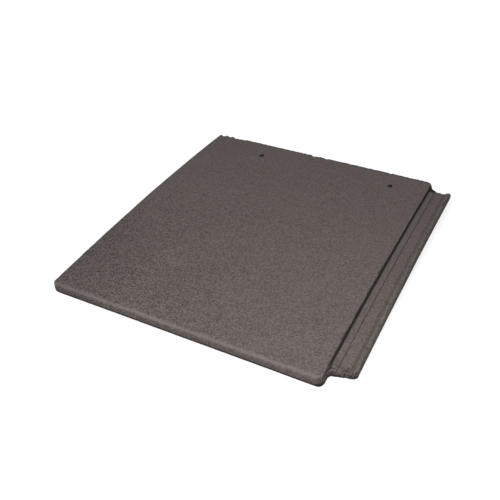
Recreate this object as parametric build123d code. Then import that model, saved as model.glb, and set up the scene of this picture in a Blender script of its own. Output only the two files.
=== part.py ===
from build123d import *
import os
from math import asin, atan2, cos, degrees, hypot, radians, sin, sqrt, tan

# Flat interlocking concrete roof tile, pressed as one piece, lying on its nose and its two hanging nibs.
# X runs across the tile from the cover edge to the side lock, Y from the nose up to the head, Z up.
# The origin is on the floor below the middle of the tile. Depths are measured down from the weathered face.

# Overall form
HANGING_LENGTH = 406.0  # from the nose to the nib faces that bear on the batten
NIB_SETBACK = 24.0  # from those faces on to the head edge
TILE_WIDTH = 380.0
BODY_THICKNESS = 14.0
CAMBER = 6.0  # rise of the face at mid length over a straight line from nose to head
COVER_ARRIS_RADIUS = 1.5
WALL_ARRIS_RADIUS = 1.0
FACE_HEAD_CHAMFER = 1.0

# Nose, the rounded lower edge that shows on the roof
NOSE_DROP = 1.6  # how far its foot hangs below the underside
NOSE_LENGTH = 20.0
NOSE_TOP_RADIUS = 6.0
NOSE_FOOT_RADIUS = 5.0
NOSE_COVER_END_RADIUS = 9.0
NOSE_LOCK_END_RADIUS = 4.0
NOSE_COVER_PLAN_RADIUS = 6.0
NOSE_LOCK_PLAN_RADIUS = 11.0

# Side lock, the stepped edge that the next tile covers: wall, groove, shelf, channel and lip
LOCK_WIDTH = 30.2
WALL_DRAFT = 3.0  # degrees off upright
GROOVE_DROP = 1.5
GROOVE_WIDTH = 0.3
GROOVE_SLOPE = 0.4
SHELF_DEPTH = 6.8
SHELF_WIDTH = 6.4
SHELF_FALL = 0.9
STEP_DROP = 1.7
STEP_SLOPE = 0.6
CHANNEL_FALL = 0.5
LIP_WIDTH = 5.0
LIP_SLOPE = 4.0
LIP_HEIGHT = 3.3
LIP_FOOT_RADIUS = 3.0
LIP_INNER_RADIUS = 1.5
LIP_OUTER_RADIUS = 2.5
LOCK_DROP = 2.0  # how far its foot hangs below the underside
LOCK_EDGE_RISE = 1.1
LOCK_HAUNCH = 10.0

# Cover lock under the opposite edge, which sits over a neighbour's side lock
SIDE_GAP = 2.5
LOCK_CLEARANCE = 1.0

# Ends of the side lock, seen from above
NOTCH_CLEARANCE = 2.0  # left free for the end of the next tile's nose
LOCK_TAIL_SLANT = 7.0
LOCK_HEAD_SETBACK = 7.5
NOTCH_RADIUS = 6.0  # inside corners at the wall
LOCK_TAIL_RADIUS = 6.0
LOCK_HEAD_RADIUS = 2.0
ROUNDED_SHARE = 0.95  # of a short wall's length, the most that the rounding of its corners takes

# Nail holes, which lie over the batten
HOLE_DIAMETER = 6.0
HOLE_BELOW_NIB = 13.5
HOLE_FROM_COVER_EDGE = 93.5
HOLE_FROM_WALL = 51.3

# Hanging nibs under the head, a little outside the holes
NIB_DEPTH = 15.0
NIB_WIDTH = 40.0
NIB_LENGTH = 14.0
NIB_OUTSET = 12.5
NIB_SIDE_DRAFT = 4.0
NIB_HEAD_DRAFT = 5.0
NIB_EDGE_RADIUS = 2.0

# Weather bars across the underside behind the nose
BAR_COUNT = 2
BAR_FROM_NOSE = 22.0
BAR_PITCH = 20.0
BAR_DEPTH = 3.0
BAR_WIDTH = 8.0
BAR_DRAFT = 1.5
BAR_END_MARGIN = 12.0

# Overall places
TILE_LENGTH = HANGING_LENGTH + NIB_SETBACK
LEFT, RIGHT = -TILE_WIDTH / 2, TILE_WIDTH / 2
TAIL, HEAD = -TILE_LENGTH / 2, TILE_LENGTH / 2
BEARING_Y = TAIL + HANGING_LENGTH
NOSE_DEPTH = BODY_THICKNESS + NOSE_DROP
HEAD_HEIGHT = BODY_THICKNESS + NIB_DEPTH
CUT_HEIGHT = HEAD_HEIGHT + CAMBER + NOSE_DEPTH  # taller than the tile, for cuts that go right through

# Places in the side lock's section
WALL = RIGHT - LOCK_WIDTH
WALL_SLOPE = tan(radians(WALL_DRAFT))
WALL_FOOT = WALL + NOSE_DEPTH * WALL_SLOPE
GROOVE_DEPTH = SHELF_DEPTH + GROOVE_DROP
CHANNEL_DEPTH = SHELF_DEPTH + SHELF_FALL + STEP_DROP
LIP_DEPTH = CHANNEL_DEPTH + CHANNEL_FALL - LIP_HEIGHT
LOCK_DEPTH = BODY_THICKNESS + LOCK_DROP
GROOVE_END = GROOVE_DEPTH * WALL_SLOPE + GROOVE_WIDTH
SHELF_END = GROOVE_END + GROOVE_SLOPE + SHELF_WIDTH
LIP_FOOT = LOCK_WIDTH - LIP_WIDTH - LIP_SLOPE
NOTCH_Y = TAIL + NOSE_LENGTH + NOTCH_CLEARANCE

# Places of the holes and nibs across the tile
HOLE_PLACES = (LEFT + HOLE_FROM_COVER_EDGE, WALL - HOLE_FROM_WALL)
NIB_PLACES = (HOLE_PLACES[0] - NIB_OUTSET, HOLE_PLACES[1] + NIB_OUTSET)

# The face is part of a large cylinder about an axis across the tile, through the nose's and the head's top edges
CHORD_RISE = HEAD_HEIGHT - NOSE_DEPTH
CHORD = hypot(TILE_LENGTH, CHORD_RISE)
CHORD_SLOPE = atan2(CHORD_RISE, TILE_LENGTH)
FACE_RADIUS = CHORD**2 / (8 * CAMBER) + CAMBER / 2
CENTRE_Y = (FACE_RADIUS - CAMBER) * sin(CHORD_SLOPE)
CENTRE_Z = (NOSE_DEPTH + HEAD_HEIGHT) / 2 - (FACE_RADIUS - CAMBER) * cos(CHORD_SLOPE)
CAMBER_AXIS = Axis((0, CENTRE_Y, CENTRE_Z), (1, 0, 0))
SWEEP_MARGIN = 0.2  # degrees past both ends, trimmed by the plan outline
TRIM_MARGIN = 0.6  # how far a trimming outline stands outside the faces that the section shapes


def height_at(y, depth=0.0):
    """Height over the floor of the surface that lies this deep below the face."""
    return CENTRE_Z + sqrt((FACE_RADIUS - depth) ** 2 - (y - CENTRE_Y) ** 2)


def outline_face(points, corners=()):
    """Flat face through the points, with the named corners rounded."""
    face = make_face(Polyline(points, close=True))
    for corner, radius in corners:
        face = fillet(face.vertices().sort_by_distance(corner)[0], radius)
    return face


def swept(section):
    """Carries a cross-section, drawn with the face at height 0, along the camber from head to nose."""
    to_nose = degrees(asin((CENTRE_Y - TAIL) / FACE_RADIUS)) + SWEEP_MARGIN
    to_head = degrees(asin((HEAD - CENTRE_Y) / FACE_RADIUS)) + SWEEP_MARGIN
    crest = Plane(origin=(0, CENTRE_Y, CENTRE_Z + FACE_RADIUS), x_dir=(1, 0, 0), z_dir=(0, -1, 0))
    at_head = (crest * section).rotate(CAMBER_AXIS, -to_head)
    return revolve(at_head, axis=CAMBER_AXIS, revolution_arc=to_head + to_nose)


def face_section(depth):
    """Cross-section of the weathered face with its rounded arrises and its drafted wall, down to a depth."""
    points = [(LEFT, 0), (WALL, 0), (WALL + depth * WALL_SLOPE, -depth), (LEFT, -depth)]
    return outline_face(points, [((LEFT, 0), COVER_ARRIS_RADIUS), ((WALL, 0), WALL_ARRIS_RADIUS)])


def side_lock_section():
    """Cross-section of the side lock: groove, shelf, channel and lip, joined to the body inside the wall."""
    profile = [
        (-LOCK_HAUNCH, GROOVE_DEPTH),
        (GROOVE_END, GROOVE_DEPTH),
        (GROOVE_END + GROOVE_SLOPE, SHELF_DEPTH),
        (SHELF_END, SHELF_DEPTH + SHELF_FALL),
        (SHELF_END + STEP_SLOPE, CHANNEL_DEPTH),
        (LIP_FOOT, CHANNEL_DEPTH + CHANNEL_FALL),
        (LIP_FOOT + LIP_SLOPE, LIP_DEPTH),
        (LOCK_WIDTH, LIP_DEPTH),
        (LOCK_WIDTH, LOCK_DEPTH - LOCK_EDGE_RISE),
        (LOCK_WIDTH - LOCK_HAUNCH, LOCK_DEPTH),
        (0, LOCK_DEPTH),
        (-LOCK_HAUNCH, BODY_THICKNESS),
    ]
    corners = [
        ((WALL + LIP_FOOT, -CHANNEL_DEPTH - CHANNEL_FALL), LIP_FOOT_RADIUS),
        ((WALL + LIP_FOOT + LIP_SLOPE, -LIP_DEPTH), LIP_INNER_RADIUS),
        ((RIGHT, -LIP_DEPTH), LIP_OUTER_RADIUS),
    ]
    return outline_face([(WALL + offset, -depth) for offset, depth in profile], corners)


def cover_lock_recess():
    """What is taken off under the cover edge, so that it clears a neighbour's side lock."""
    below = 2 * BODY_THICKNESS
    profile = [
        (0, below),
        (0, SHELF_DEPTH - LOCK_CLEARANCE),
        (SHELF_END + LOCK_CLEARANCE, SHELF_DEPTH - LOCK_CLEARANCE),
        (SHELF_END + STEP_SLOPE + LOCK_CLEARANCE, CHANNEL_DEPTH - LOCK_CLEARANCE),
        (LIP_FOOT - LOCK_CLEARANCE, CHANNEL_DEPTH - LOCK_CLEARANCE),
        (LIP_FOOT + LIP_SLOPE - LOCK_CLEARANCE, LIP_DEPTH - LOCK_CLEARANCE),
        (LOCK_WIDTH + LOCK_CLEARANCE, LIP_DEPTH - LOCK_CLEARANCE),
        (LOCK_WIDTH + LOCK_CLEARANCE, BODY_THICKNESS - LOCK_EDGE_RISE),
        (LOCK_WIDTH + 2 * LOCK_CLEARANCE, BODY_THICKNESS),
        (LOCK_WIDTH + 2 * LOCK_CLEARANCE, below),
    ]
    return outline_face([(LEFT - SIDE_GAP + offset, -depth) for offset, depth in profile])


def plan_prism():
    """Upright prism of the tile's outline from above, with the side lock cut back at both ends."""
    cover_side = LEFT - TRIM_MARGIN
    lock_side = RIGHT + TRIM_MARGIN
    wall_side = WALL_FOOT + TRIM_MARGIN
    lock_tail = NOTCH_Y + LOCK_TAIL_SLANT
    lock_head = HEAD - LOCK_HEAD_SETBACK
    nose_room = ROUNDED_SHARE * (NOTCH_Y - TAIL) - NOTCH_RADIUS
    head_room = ROUNDED_SHARE * (LOCK_HEAD_SETBACK - FACE_HEAD_CHAMFER)
    points = [
        (cover_side, TAIL),
        (wall_side, TAIL),
        (wall_side, NOTCH_Y),
        (lock_side, lock_tail),
        (lock_side, lock_head),
        (wall_side, lock_head),
        (wall_side, HEAD - FACE_HEAD_CHAMFER),
        (wall_side - FACE_HEAD_CHAMFER, HEAD),
        (cover_side, HEAD),
    ]
    corners = [
        ((cover_side, TAIL), NOSE_COVER_PLAN_RADIUS),
        ((wall_side, TAIL), min(NOSE_LOCK_PLAN_RADIUS, nose_room)),
        ((wall_side, NOTCH_Y), NOTCH_RADIUS),
        ((wall_side, lock_head), min(NOTCH_RADIUS, head_room)),
        ((lock_side, lock_tail), LOCK_TAIL_RADIUS),
        ((lock_side, lock_head), LOCK_HEAD_RADIUS),
    ]
    return extrude(outline_face(points, corners), CUT_HEIGHT)


def nose_bar():
    """Full-depth bar under the nose, which closes the end of the cover lock and stands on the floor."""
    width = WALL_FOOT - LEFT + 2 * TRIM_MARGIN
    bar = Box(width, NOSE_LENGTH + TRIM_MARGIN, CUT_HEIGHT, align=(Align.MIN, Align.MIN, Align.MIN))
    bar = Pos(LEFT - TRIM_MARGIN, TAIL - TRIM_MARGIN, 0) * bar
    feet = bar.edges().filter_by(Axis.Y).group_by(Axis.Z)[0].sort_by(Axis.X)
    bar = fillet(feet[0], NOSE_COVER_END_RADIUS)
    feet = bar.edges().filter_by(Axis.Y).group_by(Axis.Z)[0].sort_by(Axis.X)
    return fillet(feet[-1], NOSE_LOCK_END_RADIUS) & swept(face_section(CUT_HEIGHT))


def edge_cutter(y, z, radius, end_y, up):
    """What is cut off a front edge to round it about an axis across the tile at (y, z)."""
    low, high = (z, z + CUT_HEIGHT) if up else (z - CUT_HEIGHT, z)
    block = Box(TILE_WIDTH, end_y - TAIL + radius, high - low, align=(Align.CENTER, Align.MAX, Align.MIN))
    return Pos(0, end_y, low) * block - Pos(0, y, z) * Rot(0, 90, 0) * Cylinder(radius, TILE_WIDTH)


def nose_rounding():
    """Cutters for the nose's upper and lower front edges, each tangent to the front and to its surface."""
    top_y = TAIL + NOSE_TOP_RADIUS
    top_z = height_at(top_y, NOSE_TOP_RADIUS)
    tangent_y = top_y - NOSE_TOP_RADIUS * (CENTRE_Y - top_y) / (FACE_RADIUS - NOSE_TOP_RADIUS)
    foot_y = TAIL + NOSE_FOOT_RADIUS
    upper = edge_cutter(top_y, top_z, NOSE_TOP_RADIUS, tangent_y, True)
    lower = edge_cutter(foot_y, NOSE_FOOT_RADIUS, NOSE_FOOT_RADIUS, foot_y, False)
    return upper, lower


def hanging_nib(x):
    """Nib that hooks over the batten: upright towards the nose, drafted on its other sides."""
    root_z = height_at(BEARING_Y, BODY_THICKNESS / 2)
    half = NIB_WIDTH / 2
    root_half = half + NIB_SIDE_DRAFT
    root_length = NIB_LENGTH + NIB_HEAD_DRAFT
    side = outline_face([(0, 0), (NIB_LENGTH, 0), (root_length, root_z), (0, root_z)])
    front = outline_face([(-half, 0), (half, 0), (root_half, root_z), (-root_half, root_z)])
    along = Pos(-root_half, 0, 0) * extrude(Plane.YZ * side, 2 * root_half)
    across = Pos(0, root_length, 0) * extrude(Plane.XZ * front, root_length)
    nib = Pos(x, BEARING_Y, 0) * (along & across)
    foot_edges = nib.edges().group_by(Axis.Z)[0].sort_by(Axis.Y)
    return fillet(foot_edges[1:], NIB_EDGE_RADIUS)


def weather_bar(y):
    """Drafted rib across the underside that stops wind-driven rain."""
    foot_z = height_at(y, BODY_THICKNESS + BAR_DEPTH)
    root_z = height_at(y, BODY_THICKNESS / 2)
    half = BAR_WIDTH / 2
    half_foot = half - BAR_DRAFT
    rib = outline_face([(y - half_foot, foot_z), (y + half_foot, foot_z), (y + half, root_z), (y - half, root_z)])
    start = LEFT + LOCK_WIDTH + BAR_END_MARGIN
    end = WALL - LOCK_HAUNCH - BAR_END_MARGIN
    return Pos(start, 0, 0) * extrude(Plane.YZ * rib, end - start)


def nail_hole(x):
    """Straight hole punched down through the body over the batten."""
    hole = Cylinder(HOLE_DIAMETER / 2, CUT_HEIGHT, align=(Align.CENTER, Align.CENTER, Align.MIN))
    return Pos(x, BEARING_Y - HOLE_BELOW_NIB, 0) * hole


def build_tile():
    """The whole tile as one solid."""
    section = face_section(BODY_THICKNESS) + side_lock_section() - cover_lock_recess()
    tile = (swept(section) + nose_bar()) & plan_prism()
    for cutter in nose_rounding():
        tile = tile - cutter
    for number in range(BAR_COUNT):
        tile = tile + weather_bar(TAIL + NOSE_LENGTH + BAR_FROM_NOSE + number * BAR_PITCH)
    for x in NIB_PLACES:
        tile = tile + hanging_nib(x)
    for x in HOLE_PLACES:
        tile = tile - nail_hole(x)
    return tile


os.makedirs("parts", exist_ok=True)
roof_tile = build_tile()
export_step(roof_tile, "parts/roof_tile.step")
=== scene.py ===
import math

import bmesh
import bpy
from bpy.props import FloatProperty, FloatVectorProperty, PointerProperty
from mathutils import Matrix, Vector, noise
from mathutils.kdtree import KDTree


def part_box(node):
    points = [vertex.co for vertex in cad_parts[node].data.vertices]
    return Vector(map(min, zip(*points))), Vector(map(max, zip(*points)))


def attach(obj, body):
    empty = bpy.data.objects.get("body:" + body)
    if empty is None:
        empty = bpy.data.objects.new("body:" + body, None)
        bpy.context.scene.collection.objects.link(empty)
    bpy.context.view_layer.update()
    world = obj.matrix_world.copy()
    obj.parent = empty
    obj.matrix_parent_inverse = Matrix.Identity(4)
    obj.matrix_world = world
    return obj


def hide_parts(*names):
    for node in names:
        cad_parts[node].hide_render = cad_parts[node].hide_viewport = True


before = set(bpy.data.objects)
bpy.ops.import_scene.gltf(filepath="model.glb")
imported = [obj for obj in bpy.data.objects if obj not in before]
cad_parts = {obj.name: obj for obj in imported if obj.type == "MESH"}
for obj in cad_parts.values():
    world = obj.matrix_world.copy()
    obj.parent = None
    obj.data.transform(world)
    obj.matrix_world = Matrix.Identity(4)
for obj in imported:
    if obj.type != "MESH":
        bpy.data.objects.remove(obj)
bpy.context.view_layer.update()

bl_info = {
    "name": "Concrete roof tile",
    "version": (1, 0, 0),
    "blender": (4, 5, 0),
    "location": "3D View > Sidebar > Roof tile",
    "description": "Gives the packed tile its worn concrete body and a plain studio",
    "category": "Object",
}

NODE = "roof_tile"
MM = 0.001
LOW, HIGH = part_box(NODE)
HEAD_HEIGHT = 29.0 * MM

# Values that the mesh holds for its material.
MARKS = ("rubbed_highlight", "hollow", "torn", "rim", "under", "exposed", "darker_to_cover_nose")

# Edges that turn more sharply than this count as an arris or a hollow.
SHARP_ANGLE = math.radians(28)

# The side lock: its wall beside the face, its cut end beside the nose, the foot of its outer lip
# and the inner corner at its head end.
WALL = HIGH.x - 30.2 * MM
LOCK_TAIL = LOW.y + 32.0 * MM
LIP_FOOT = HIGH.x - 9.0 * MM
LOCK_CORNER = Vector((WALL + 4.0 * MM, HIGH.y - 9.0 * MM))

# The nail holes. Their painted shade reaches further along the tile than across it, and sits towards the nose.
HOLE_RADIUS = 3.0 * MM
HOLES = (Vector((-96.5, 177.5)) * MM, Vector((108.5, 177.5)) * MM)
HOLE_SHADE_STRETCH = 0.7
HOLE_SHADE_SHIFT = 0.9 * MM

# Bites out of the head's upper arris: place along the width, radius and depth of each, in millimetres.
HEAD_CHIPS = (
    (-190.5, 5.0, 2.2),
    (-183.3, 4.9, 4.4),
    (-172.3, 3.4, 2.6),
    (-160.5, 5.5, 2.6),
    (-153.5, 6.0, 2.4),
    (-146.0, 6.0, 1.4),
    (-24.2, 3.6, 2.6),
    (-18.6, 3.2, 1.0),
    (-4.2, 3.4, 1.9),
    (97.5, 4.5, 0.9),
)
CHIP_DIRECTION = Vector((0, 0.62, 0.78))
CHIP_REACH = 9.0 * MM

# The worn corner between the head and the wall: centre of its bite, from that corner, and its radius.
CORNER_BITE = Vector((10.5, 9.5, 12.7)) * MM
CORNER_BITE_RADIUS = 23.0 * MM

# The nose: how far back its front reaches and its foot runs, and the worn round at its cover end.
NOSE_FRONT = LOW.y + 9.0 * MM
NOSE_BACK = LOW.y + 22.0 * MM
NOSE_END_RADIUS = 12.5 * MM

# The slope, in degrees, at which the painted highlight and the wear on the nose are strongest, and how far
# from it they end.
RUB_HIGHLIGHT_SLOPE = 42.0
RUB_HIGHLIGHT_SPREAD = 30.0

# Widths of the painted shade line along the sides, along the head and at the foot of the lip.
SIDE_RIM = 1.8 * MM
HEAD_RIM = 3.2 * MM
LIP_LINE = 1.8 * MM

# From where to where a mark fades.
NOSE_FOOT_FADE = (4.0 * MM, 6.5 * MM)  # height on the nose's front
LOCK_FOOT_FADE = (3.0 * MM, 5.0 * MM)  # height on the lock's cut end
HOLE_FADE = (HOLE_RADIUS, HOLE_RADIUS + 1.1 * MM)  # away from the middle of a nail hole
CORNER_FADE = (4.0 * MM, 8.0 * MM)  # away from the lock's inner corner
WALL_FADE = (LOCK_TAIL - 9.0 * MM, LOCK_TAIL)  # along the wall, from the nose up
PIT_FADE = (-7.0 * MM, 2.0 * MM)  # down towards the lock's cut end
PIT_DEPTH_FADE = (0.05, 0.35)  # of the noise that makes the pits
PIT_LENGTH = 2.4 * MM
UPWARD_FADE = (0.1, 0.5)  # how far a surface looks up
DOWNWARD_FADE = (0.15, 0.65)  # how far a surface looks down
COVER_FADE = (-60.0 * MM, 190.0 * MM)  # across the tile towards the cover edge
EXPOSED_FADE = (-80.0 * MM, 210.0 * MM)  # down the tile towards the nose
# Where the tile grows darker towards the cover side and towards the nose.
DARKER_ACROSS_FADE = (85.0 * MM, 195.0 * MM)
DARKER_ALONG_FADE = (-60.0 * MM, 150.0 * MM)

# The lamps: place, point aimed at and size, in metres.
FRONT_LAMP = ((-0.20, -2.4, 2.44), (0, 0, 0.02), 1.4)
NEAR_LAMP = ((0.27, -0.38, 0.48), (0.1, -0.15, 0.02), 0.25)

# The distances from the tile between which the floor comes up to full white, in metres.
FLOOR_WHITE_FADE = (0.4, 0.9)


class TileSettings(bpy.types.PropertyGroup):
    """Sizes and colours of the worn tile"""

    face_cell: FloatProperty(
        name="Face cell", description="Longest mesh edge on the sides that weather",
        default=2.25 * MM, unit="LENGTH")
    under_cell: FloatProperty(
        name="Underside cell", description="Longest mesh edge on the underside",
        default=4.5 * MM, unit="LENGTH")
    chip_cell: FloatProperty(
        name="Chip cell", description="Longest mesh edge round a chip, a hole or a torn end",
        default=1.1 * MM, unit="LENGTH")
    cut_pitch: FloatProperty(
        name="Cut pitch", description="Spacing of the cuts that make the mesh even",
        default=8.6 * MM, unit="LENGTH")
    arris_wear: FloatProperty(
        name="Arris wear", description="How far a sharp arris is worn back",
        default=0.2 * MM, unit="LENGTH")
    swell_height: FloatProperty(
        name="Swell height", description="Height of the broad unevenness of the cast face",
        default=0.16 * MM, unit="LENGTH")
    swell_length: FloatProperty(
        name="Swell length", description="Length of the broad unevenness",
        default=55 * MM, unit="LENGTH")
    grit_height: FloatProperty(
        name="Grit height", description="Height of the sandy unevenness of the face",
        default=0.13 * MM, unit="LENGTH")
    grit_length: FloatProperty(
        name="Grit length", description="Length of the sandy unevenness",
        default=5.5 * MM, unit="LENGTH")
    torn_height: FloatProperty(
        name="Torn height", description="Height of the crumbs on the cut ends",
        default=0.6 * MM, unit="LENGTH")
    torn_length: FloatProperty(
        name="Torn length", description="Length of the crumbs on the cut ends",
        default=3.2 * MM, unit="LENGTH")
    face_tone: FloatVectorProperty(
        name="Face tone", description="Main colour of the coloured concrete",
        size=3, subtype="COLOR", min=0, max=1, default=(0.124, 0.103, 0.096))
    # The dark tone colours the darker patches, and a third of it paints shade in the hollows and along the
    # edges.
    dark_tone: FloatVectorProperty(
        name="Dark tone", description="Colour of the darker patches and hollows",
        size=3, subtype="COLOR", min=0, max=1, default=(0.070, 0.056, 0.052))
    # The pale tone also paints the highlight on the round of the nose.
    pale_tone: FloatVectorProperty(
        name="Pale tone", description="Colour of bare sand grains and rubbed arrises",
        size=3, subtype="COLOR", min=0, max=1, default=(0.205, 0.178, 0.172))
    torn_tone: FloatVectorProperty(
        name="Torn tone", description="Colour of the cut ends and chips",
        size=3, subtype="COLOR", min=0, max=1, default=(0.105, 0.078, 0.070))
    under_tone: FloatVectorProperty(
        name="Underside tone", description="Colour of the underside, which the weather doesn't reach",
        size=3, subtype="COLOR", min=0, max=1, default=(0.150, 0.132, 0.124))
    grains: FloatProperty(
        name="Grains", description="Sand grains along one metre of the face", default=740.0)


class StudioSettings(bpy.types.PropertyGroup):
    """Floor, light and camera of the studio"""

    floor_tone: FloatVectorProperty(
        name="Floor tone", description="Colour of the plain floor",
        size=3, subtype="COLOR", min=0, max=1, default=(0.36, 0.36, 0.36))
    floor_glow: FloatProperty(
        name="Floor glow", description="What brings the floor up to white for the camera",
        default=0.78)
    sky_light: FloatProperty(
        name="Sky light", description="Level of the even light from all round", default=0.25)
    front_power: FloatProperty(
        name="Front lamp", description="Power of the large soft lamp in front of the nose",
        default=73.0, unit="POWER")
    near_power: FloatProperty(
        name="Near lamp", description="Power of the small soft lamp over the nose's lock end",
        default=1.5, unit="POWER")
    azimuth: FloatProperty(
        name="Azimuth", description="Camera's turn from the nose towards the side lock",
        default=math.radians(28.158), subtype="ANGLE")
    elevation: FloatProperty(
        name="Elevation", description="Camera's height above the floor, as an angle",
        default=math.radians(35.445), subtype="ANGLE")
    roll: FloatProperty(
        name="Roll", description="Camera's turn about its own line of sight",
        default=math.radians(-0.332), subtype="ANGLE")
    distance: FloatProperty(
        name="Distance", description="From the camera to the point it is aimed at",
        default=0.89139, unit="LENGTH")
    aim: FloatVectorProperty(
        name="Aim", description="The point that the camera is aimed at",
        size=3, subtype="TRANSLATION", unit="LENGTH", default=(-0.02398, -0.06954, 0.02))
    lens: FloatProperty(
        name="Lens", description="Focal length on a 36 mm sensor, in millimetres",
        default=50.515)
    shift: FloatVectorProperty(
        name="Shift", description="Lens shift that frames the tile", size=2,
        default=(0.0422, 0.0091))


# Where a place on the tile lies


def share_of(value, low, high):
    """0 below the low value, 1 above the high one, and in step between them."""
    return min(1.0, max(0.0, (value - low) / (high - low)))


def closeness(places, reach):
    """A function that gives 1 on the places and falls to 0 at the reach."""
    tree = KDTree(len(places))
    for i, place in enumerate(places):
        tree.insert(place, i)
    tree.balance()

    def near(point):
        found = tree.find(point)[2]
        return max(0.0, 1 - found / reach) if found is not None else 0.0

    return near


def weathers(edge):
    """True for an edge with a face that isn't part of the underside."""
    return any(f.normal.z > -0.3 for f in edge.link_faces)


def on_nose(place, facing):
    """True on the rounded front of the nose."""
    return place.y < NOSE_FRONT and facing.y < -0.2


def in_tail_notch(place):
    """True at the end of the side lock beside the nose."""
    return place.x > WALL + 1.2 * MM and place.y < LOCK_TAIL


def on_lock_end(place, facing):
    """True on the side lock's cut end, which looks past the nose."""
    return in_tail_notch(place) and facing.y < -0.35


def to_cover(place):
    """Rises across the tile from the side lock to the cover edge."""
    return share_of(-place.x, *COVER_FADE)


def chip_places():
    """Centre and radius of each bite out of the head's upper arris, and the point of the arris it takes."""
    for along, radius, depth in HEAD_CHIPS:
        corner = Vector((along * MM, HIGH.y, HEAD_HEIGHT))
        yield corner + CHIP_DIRECTION * (radius - depth) * MM, radius * MM, corner
    corner = Vector((WALL, HIGH.y, HEAD_HEIGHT))
    yield corner + CORNER_BITE, CORNER_BITE_RADIUS, corner


# The worn mesh


def cut_across(bm, axis, pitch):
    """Cuts the mesh by planes at an even pitch along one axis."""
    normal = Vector((0, 0, 0))
    normal[axis] = 1
    count = int((HIGH[axis] - LOW[axis]) / pitch)
    step = (HIGH[axis] - LOW[axis]) / (count + 1)
    for i in range(count):
        bmesh.ops.bisect_plane(
            bm, geom=bm.verts[:] + bm.edges[:] + bm.faces[:], dist=0.02 * MM,
            plane_co=normal * (LOW[axis] + step * (i + 1)), plane_no=normal)


def square_up(bm):
    """Splits every face of more than four corners."""
    many = [f for f in bm.faces if len(f.verts) > 4]
    if many:
        bmesh.ops.triangulate(bm, faces=many)


def refine(bm, limit, wanted, rounds):
    """Halves the wanted edges that are longer than the limit, a set number of times."""
    for i in range(rounds):
        bm.normal_update()
        longer = [e for e in bm.edges if e.calc_length() > limit and wanted(e)]
        if not longer:
            return
        bmesh.ops.subdivide_edges(bm, edges=longer, cuts=1, use_grid_fill=True)
        square_up(bm)


def even_mesh(settings):
    """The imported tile's own shape as an even mesh, finer where it weathers and finest where it crumbles."""
    bm = bmesh.new()
    bm.from_mesh(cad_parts[NODE].data)
    for name in MARKS:
        bm.verts.layers.float.new(name)
    bmesh.ops.remove_doubles(bm, verts=bm.verts, dist=0.001 * MM)
    bmesh.ops.dissolve_limit(
        bm, angle_limit=math.radians(0.05), verts=bm.verts, edges=bm.edges, delimit=set())
    for edge in bm.edges:
        edge.smooth = edge.calc_face_angle(0) < SHARP_ANGLE
    cut_across(bm, 0, settings.cut_pitch)
    cut_across(bm, 1, settings.cut_pitch)
    square_up(bm)
    by_chip = closeness([corner for centre, radius, corner in chip_places()], CHIP_REACH)

    def crumbles(edge):
        place = edge.verts[0].co
        by_hole = min((place.xy - hole).length for hole in HOLES) < HOLE_RADIUS + 4 * MM
        return by_chip(place) > 0 or ((in_tail_notch(place) or by_hole) and weathers(edge))

    refine(bm, settings.under_cell, lambda e: True, 4)
    refine(bm, settings.face_cell, weathers, 3)
    refine(bm, settings.chip_cell, crumbles, 2)
    bm.normal_update()
    return bm


def rubbing_and_highlight(place, facing, by_arris):
    """How far a place is made pale: most on the round of the nose, where it is a painted highlight peaked at
    one slope with some wear, and less on other arrises, where it is wear.
    """
    if not on_nose(place, facing):
        return 0.3 * by_arris(place)
    slope = math.degrees(math.asin(max(-1.0, min(1.0, facing.z))))
    return max(0.0, 1 - abs(slope - RUB_HIGHLIGHT_SLOPE) / RUB_HIGHLIGHT_SPREAD) * (0.8 + 0.4 * to_cover(place))


def lock_painted_shade(place, facing, shade_paint):
    """Painted shade in the side lock: on its wall, at its lip's foot, in pits at its cut end and in its head
    corner.
    """
    on_wall = facing.x > 0.8 and place.x < WALL + 2 * MM
    if not on_wall and place.x < WALL + 4 * MM:
        shade_paint = 0.2 * shade_paint
    lip_line = max(0.0, 1 - abs(place.x - LIP_FOOT) / LIP_LINE)
    line = (0.75 if on_wall else 0.35 * lip_line) * share_of(place.y, *WALL_FADE)
    pits = share_of(noise.noise(place / PIT_LENGTH), *PIT_DEPTH_FADE)
    pits = pits * share_of(LOCK_TAIL - place.y, *PIT_FADE)
    corner = 1 - share_of((place.xy - LOCK_CORNER).length, *CORNER_FADE)
    return max(shade_paint, line, 0.8 * pits, corner)


def painted_shade_of(place, facing, by_hollow):
    """How much painted shade a place takes: in the sharp hollows, in the side lock and at the nail holes."""
    shade_paint = 0.6 * by_hollow(place)
    if place.x > WALL:
        shade_paint = lock_painted_shade(place, facing, shade_paint)
    by_hole = min(
        math.hypot(place.x - hole.x, HOLE_SHADE_STRETCH * (place.y - hole.y) + HOLE_SHADE_SHIFT) for hole in HOLES)
    return max(shade_paint, 1 - share_of(by_hole, *HOLE_FADE))


def edge_line(place, facing):
    """Painted shade as a dark line round the tile: along the edges of the face and at the feet of the nose and
    the lock.
    """
    if on_nose(place, facing):
        return 1 - share_of(place.z, *NOSE_FOOT_FADE)
    if on_lock_end(place, facing):
        return 1 - share_of(place.z, *LOCK_FOOT_FADE)
    cover_side = 1 - (place.x - LOW.x) / SIDE_RIM
    head = 1 - (HIGH.y - place.y) / HEAD_RIM
    lock_side = 0.2 - 0.2 * (HIGH.x - place.x) / SIDE_RIM
    return max(0.0, cover_side, head, lock_side) * (0.2 + 0.8 * share_of(facing.z, *UPWARD_FADE))


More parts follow.
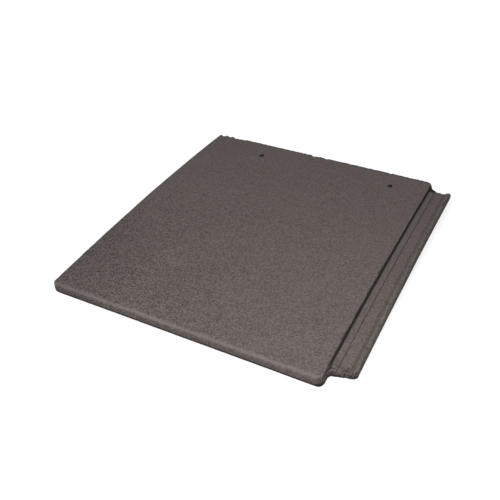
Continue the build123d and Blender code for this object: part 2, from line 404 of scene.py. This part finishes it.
def mark_wear(bm):
    """Writes into the mesh where the tile is worn pale and takes its painted highlight, where it takes painted
    shade, where it is torn or sheltered, and where it grows darker towards the nose.
    """
    layer = bm.verts.layers.float
    rubbed_highlight, hollow, torn, rim, under, exposed, darker_to_cover_nose = (layer[name] for name in MARKS)
    sharp = [e for e in bm.edges if not e.smooth]
    by_arris = closeness([v.co.copy() for e in sharp if e.is_convex for v in e.verts], 2 * MM)
    by_hollow = closeness([v.co.copy() for e in sharp if not e.is_convex for v in e.verts], 1.2 * MM)
    for vert in bm.verts:
        place, facing = vert.co, vert.normal
        vert[rubbed_highlight] = rubbing_and_highlight(place, facing, by_arris)
        vert[hollow] = painted_shade_of(place, facing, by_hollow)
        vert[torn] = 1.0 if facing.y > 0.45 or on_lock_end(place, facing) else 0.0
        vert[rim] = edge_line(place, facing)
        vert[under] = share_of(-facing.z, *DOWNWARD_FADE)
        vert[exposed] = 0.42 + (0.2 + 0.6 * to_cover(place)) * share_of(-place.y, *EXPOSED_FADE)
        vert[darker_to_cover_nose] = share_of(-place.x, *DARKER_ACROSS_FADE) * share_of(-place.y, *DARKER_ALONG_FADE)


def soften(bm, reach):
    """Wears the sharp arrises back and fills the sharp hollows, no further than the reach."""
    moves = {}
    for vert in {v for e in bm.edges if not e.smooth for v in e.verts}:
        around = sum((e.other_vert(vert).co for e in vert.link_edges), Vector()) / len(vert.link_edges)
        move = (around - vert.co) / 2
        if move.length > reach:
            move.length = reach
        moves[vert] = move
    for vert, move in moves.items():
        vert.co += move


def round_nose_end(bm):
    """Wears the foot of the nose's cover end to a larger round."""
    centre = Vector((LOW.x + NOSE_END_RADIUS, 0, LOW.z + NOSE_END_RADIUS))
    for vert in bm.verts:
        off = vert.co - centre
        off.y = 0
        if vert.co.y < NOSE_BACK and off.x < 0 and off.z < 0 and off.length > NOSE_END_RADIUS:
            off.length = NOSE_END_RADIUS
            vert.co.x, vert.co.z = centre.x + off.x, centre.z + off.z


def bite_chips(bm):
    """Presses ragged round bites into the arrises that are chipped."""
    torn = bm.verts.layers.float["torn"]
    for centre, radius, corner in chip_places():
        for vert in bm.verts:
            off = vert.co - centre
            if off.length < radius:
                ragged = 1 + 0.10 * noise.noise(vert.co / (1.6 * MM))
                vert.co = centre + off.normalized() * radius * ragged
                vert[torn] = 1.0
    bm.normal_update()


def roughen(bm, settings):
    """Gives the surface its broad swell, its grit and the crumbs of its cut ends, but not where it stands."""
    layer = bm.verts.layers.float
    torn, exposed = layer["torn"], layer["exposed"]
    for vert in bm.verts:
        place = vert.co.copy()
        if place.z < 0.4 * MM:
            continue
        swell = noise.noise(place / settings.swell_length) * settings.swell_height
        grit = noise.fractal(place / settings.grit_length, 0.8, 2.0, 3) * settings.grit_height
        crumb = noise.fractal(place / settings.torn_length, 0.6, 2.1, 3) * settings.torn_height
        vert.co = place + vert.normal * (swell + grit * vert[exposed] + crumb * vert[torn])


def worn_body(settings):
    """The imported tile's own shape with softened arrises, chips and grit."""
    bm = even_mesh(settings)
    mark_wear(bm)
    soften(bm, settings.arris_wear)
    round_nose_end(bm)
    bite_chips(bm)
    roughen(bm, settings)
    for face in bm.faces:
        face.smooth = True
    for edge in bm.edges:
        edge.smooth = True
    return bm


# Materials


def feed(tree, socket, value):
    """Links an output to a socket, or sets the socket's own value."""
    if isinstance(value, bpy.types.NodeSocket):
        tree.links.new(value, socket)
    else:
        socket.default_value = value


def add_node(tree, kind, **values):
    """Adds a node and sets its properties and feeds its inputs by name."""
    made = tree.nodes.new(kind)
    for name, value in values.items():
        if hasattr(made, name):
            setattr(made, name, value)
        else:
            feed(tree, made.inputs[name.replace("_", " ")], value)
    return made


def maths(tree, operation, *values):
    """The result of a sum of two or three values."""
    made = add_node(tree, "ShaderNodeMath", operation=operation)
    for socket, value in zip(made.inputs, values):
        feed(tree, socket, value)
    return made.outputs[0]


def mixed(tree, data_type, factor, first, second):
    """Two values or two colours, mixed by a factor."""
    made = add_node(tree, "ShaderNodeMix", data_type=data_type)
    inputs = [socket for socket in made.inputs if socket.enabled]
    for socket, value in zip(inputs, (factor, first, second)):
        feed(tree, socket, value)
    return next(socket for socket in made.outputs if socket.enabled)


def ranged(tree, value, low, high, to_low=0.0, to_high=1.0):
    """A value between low and high, spread over a new range."""
    made = add_node(
        tree, "ShaderNodeMapRange", Value=value, From_Min=low, From_Max=high, To_Min=to_low, To_Max=to_high)
    return made.outputs["Result"]


def mark(tree, name):
    """The value that the mesh holds under this name."""
    return add_node(tree, "ShaderNodeAttribute", attribute_name=name).outputs["Fac"]


def sand_grain_group():
    """Sand in cement paste: height, tone and pale grains from a place and a grain count."""
    tree = bpy.data.node_groups.new("Sand grain", "ShaderNodeTree")
    tree.interface.new_socket("Place", in_out="INPUT", socket_type="NodeSocketVector")
    tree.interface.new_socket("Grains", in_out="INPUT", socket_type="NodeSocketFloat")
    for name in ("Height", "Tone", "Pale grains"):
        tree.interface.new_socket(name, in_out="OUTPUT", socket_type="NodeSocketFloat")
    given = tree.nodes.new("NodeGroupInput").outputs
    result = tree.nodes.new("NodeGroupOutput").inputs
    cells = add_node(
        tree, "ShaderNodeTexVoronoi", feature="F1", Randomness=1.0,
        Vector=given["Place"], Scale=given["Grains"])
    paste = add_node(
        tree, "ShaderNodeTexNoise", Vector=given["Place"], Detail=3.0, Roughness=0.65,
        Scale=maths(tree, "MULTIPLY", given["Grains"], 0.55)).outputs["Fac"]
    chance = add_node(tree, "ShaderNodeSeparateColor", Color=cells.outputs["Color"]).outputs
    domes = ranged(tree, cells.outputs["Distance"], 0.0, 0.7, 1.0, 0.0)
    feed(tree, result["Height"], maths(tree, "MULTIPLY_ADD", domes, 0.45, paste))
    feed(tree, result["Tone"], mixed(tree, "FLOAT", 0.55, paste, chance["Red"]))
    feed(tree, result["Pale grains"], ranged(tree, chance["Green"], 0.90, 0.99))
    return tree


def concrete_material(settings):
    """Through-coloured concrete: mottled, sandy and worn pale at its arrises, with a painted highlight on the
    round of the nose, painted shade in its hollows and along its edges, and darker towards the nose at the
    cover side.
    """
    made = bpy.data.materials.new("Coloured concrete")
    made.use_nodes = True
    tree = made.node_tree
    shader = tree.nodes["Principled BSDF"]
    place = tree.nodes.new("ShaderNodeTexCoord").outputs["Object"]
    grain = add_node(
        tree, "ShaderNodeGroup", node_tree=sand_grain_group(), Place=place, Grains=settings.grains).outputs

    broad = add_node(tree, "ShaderNodeTexNoise", Vector=place, Scale=14.0, Detail=3.0, Roughness=0.55)
    patch = add_node(tree, "ShaderNodeTexNoise", Vector=place, Scale=400.0, Detail=3.0, Roughness=0.6)
    mottle = mixed(tree, "FLOAT", 0.7, broad.outputs["Fac"], patch.outputs["Fac"])
    blotch = mixed(tree, "FLOAT", 0.6, mottle, grain["Tone"])
    contrast = mixed(tree, "FLOAT", mark(tree, "exposed"), 0.5, ranged(tree, blotch, 0.36, 0.64))
    lighter = [2 * face - dark for face, dark in zip(settings.face_tone, settings.dark_tone)]
    colour = mixed(tree, "RGBA", contrast, (*settings.dark_tone, 1), (*lighter, 1))

    # The deep tone paints shade in the hollows and along the edges, and darkens the tile towards the nose at
    # the cover side.
    deep_tone = [0.3 * value for value in settings.dark_tone]
    for tone, mask, amount in (
            (settings.pale_tone, grain["Pale grains"], 0.55),
            (settings.under_tone, mark(tree, "under"), 0.6),
            (settings.torn_tone, mark(tree, "torn"), 0.75),
            # The pale tone paints the highlight on the round of the nose, with the wear of the other arrises.
            (settings.pale_tone, mark(tree, "rubbed_highlight"), 0.65),
            # Painted shade in the hollows, on the lock's wall, at the lip's foot, in the pits of its cut end,
            # in its head corner and in the nail holes.
            (deep_tone, mark(tree, "hollow"), 0.95),
            # Painted shade as a dark line along the edges and at the feet of the nose and the lock.
            (deep_tone, mark(tree, "rim"), 0.9),
            # Darker towards the nose at the cover side.
            (deep_tone, mark(tree, "darker_to_cover_nose"), 0.28)):
        colour = mixed(tree, "RGBA", maths(tree, "MULTIPLY", mask, amount), colour, (*tone, 1))
    feed(tree, shader.inputs["Base Color"], colour)
    feed(tree, shader.inputs["Roughness"], ranged(tree, blotch, 0.0, 1.0, 0.82, 0.98))

    coarse = maths(tree, "MULTIPLY_ADD", mark(tree, "torn"), 1.2, mark(tree, "exposed"))
    relief = maths(tree, "MULTIPLY", grain["Height"], coarse)
    bump = add_node(tree, "ShaderNodeBump", Strength=0.55, Distance=0.55 * MM, Height=relief)
    feed(tree, shader.inputs["Normal"], bump.outputs["Normal"])
    shader.inputs["Specular IOR Level"].default_value = 0.06
    return made


def for_the_eye(tree):
    """1 for rays that show the stage to the camera, directly or in gloss or glass."""
    rays = tree.nodes.new("ShaderNodeLightPath").outputs
    mirrored = maths(tree, "MAXIMUM", rays["Is Glossy Ray"], rays["Is Transmission Ray"])
    return maths(tree, "MAXIMUM", rays["Is Camera Ray"], mirrored)


def floor_material(settings):
    """Pale matt floor that comes up to white for the camera and still takes a shadow."""
    made = bpy.data.materials.new("Pale floor")
    made.use_nodes = True
    tree = made.node_tree
    shader = tree.nodes["Principled BSDF"]
    shader.inputs["Base Color"].default_value = (*settings.floor_tone, 1)
    shader.inputs["Roughness"].default_value = 1.0
    shader.inputs["Specular IOR Level"].default_value = 0.0
    shader.inputs["Emission Color"].default_value = (1, 1, 1, 1)
    place = tree.nodes.new("ShaderNodeTexCoord").outputs["Object"]
    away = add_node(tree, "ShaderNodeVectorMath", operation="LENGTH", Vector=place).outputs["Value"]
    level = add_node(
        tree, "ShaderNodeMapRange", interpolation_type="SMOOTHSTEP", Value=away,
        From_Min=FLOOR_WHITE_FADE[0], From_Max=FLOOR_WHITE_FADE[1], To_Min=settings.floor_glow, To_Max=1.0)
    glow = maths(tree, "MULTIPLY", level.outputs["Result"], for_the_eye(tree))
    feed(tree, shader.inputs["Emission Strength"], glow)
    return made


# The studio


def lay_floor(scene, settings):
    """A wide level floor under the tile."""
    bm = bmesh.new()
    bmesh.ops.create_grid(bm, x_segments=2, y_segments=2, size=12.0)
    mesh = bpy.data.meshes.new("floor")
    bm.to_mesh(mesh)
    bm.free()
    mesh.materials.append(floor_material(settings))
    floor = bpy.data.objects.new("floor", mesh)
    scene.collection.objects.link(floor)


def light_sky(scene, settings):
    """Even light from all round, white where the camera sees it."""
    world = bpy.data.worlds.new("Studio light")
    scene.world = world
    world.use_nodes = True
    tree = world.node_tree
    sky = tree.nodes["Background"]
    sky.inputs["Color"].default_value = (1, 1, 1, 1)
    feed(tree, sky.inputs["Strength"], mixed(tree, "FLOAT", for_the_eye(tree), settings.sky_light, 1.0))


def hang_lamp(scene, name, place, aim, size, power):
    """A square soft lamp aimed at a point."""
    data = bpy.data.lights.new(name, "AREA")
    data.shape = "SQUARE"
    data.size = size
    data.energy = power
    lamp = bpy.data.objects.new(name, data)
    lamp.location = place
    lamp.rotation_euler = (Vector(aim) - Vector(place)).to_track_quat("-Z", "Y").to_euler()
    scene.collection.objects.link(lamp)


def set_camera(scene, settings):
    """A camera at the set angle and distance from the point it is aimed at."""
    turn, lift, roll = settings.azimuth, settings.elevation, settings.roll
    back = Vector((math.sin(turn) * math.cos(lift), -math.cos(turn) * math.cos(lift), math.sin(lift)))
    right = Vector((math.cos(turn), math.sin(turn), 0))
    up = back.cross(right)
    rolled_right = right * math.cos(roll) + up * math.sin(roll)
    rolled_up = up * math.cos(roll) - right * math.sin(roll)
    data = bpy.data.cameras.new("camera")
    data.sensor_width = 36.0
    data.lens = settings.lens
    data.shift_x, data.shift_y = settings.shift
    data.clip_start = 0.01
    camera = bpy.data.objects.new("camera", data)
    standing = Matrix.Translation(Vector(settings.aim) + back * settings.distance)
    camera.matrix_world = standing @ Matrix((rolled_right, rolled_up, back)).transposed().to_4x4()
    scene.collection.objects.link(camera)
    scene.camera = camera


# Operators and panel


class ROOFTILE_OT_cast_tile(bpy.types.Operator):
    """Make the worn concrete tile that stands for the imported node"""

    bl_idname = "roof_tile.cast_tile"
    bl_label = "Cast tile"

    def execute(self, context):
        settings = context.scene.roof_tile
        bm = worn_body(settings)
        mesh = bpy.data.meshes.new("cast_tile")
        bm.to_mesh(mesh)
        bm.free()
        mesh.materials.append(concrete_material(settings))
        tile = bpy.data.objects.new("cast_tile", mesh)
        context.scene.collection.objects.link(tile)
        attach(tile, "root")
        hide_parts(NODE)
        return {"FINISHED"}


class ROOFTILE_OT_studio(bpy.types.Operator):
    """Lay the pale floor, hang the soft lamps and set the camera"""

    bl_idname = "roof_tile.studio"
    bl_label = "Studio"

    def execute(self, context):
        scene = context.scene
        settings = scene.roof_tile_studio
        scene.view_settings.view_transform = "Standard"
        lay_floor(scene, settings)
        light_sky(scene, settings)
        hang_lamp(scene, "front_lamp", *FRONT_LAMP, settings.front_power)
        hang_lamp(scene, "near_lamp", *NEAR_LAMP, settings.near_power)
        set_camera(scene, settings)
        return {"FINISHED"}


class VIEW3D_PT_roof_tile(bpy.types.Panel):
    """Sizes and colours of the tile and its studio"""

    bl_idname = "VIEW3D_PT_roof_tile"
    bl_label = "Concrete roof tile"
    bl_space_type = "VIEW_3D"
    bl_region_type = "UI"
    bl_category = "Roof tile"

    def draw(self, context):
        for title, operator, settings in (
                ("Tile", ROOFTILE_OT_cast_tile, context.scene.roof_tile),
                ("Studio", ROOFTILE_OT_studio, context.scene.roof_tile_studio)):
            box = self.layout.box()
            box.label(text=title)
            for name in settings.__annotations__:
                box.prop(settings, name)
            box.operator(operator.bl_idname)


CLASSES = (TileSettings, StudioSettings, ROOFTILE_OT_cast_tile, ROOFTILE_OT_studio, VIEW3D_PT_roof_tile)


def register():
    for cls in CLASSES:
        bpy.utils.register_class(cls)
    bpy.types.Scene.roof_tile = PointerProperty(type=TileSettings)
    bpy.types.Scene.roof_tile_studio = PointerProperty(type=StudioSettings)


def unregister():
    del bpy.types.Scene.roof_tile_studio
    del bpy.types.Scene.roof_tile
    for cls in reversed(CLASSES):
        bpy.utils.unregister_class(cls)


def main():
    register()
    bpy.ops.roof_tile.cast_tile()
    bpy.ops.roof_tile.studio()


if __name__ == "__main__":
    main()
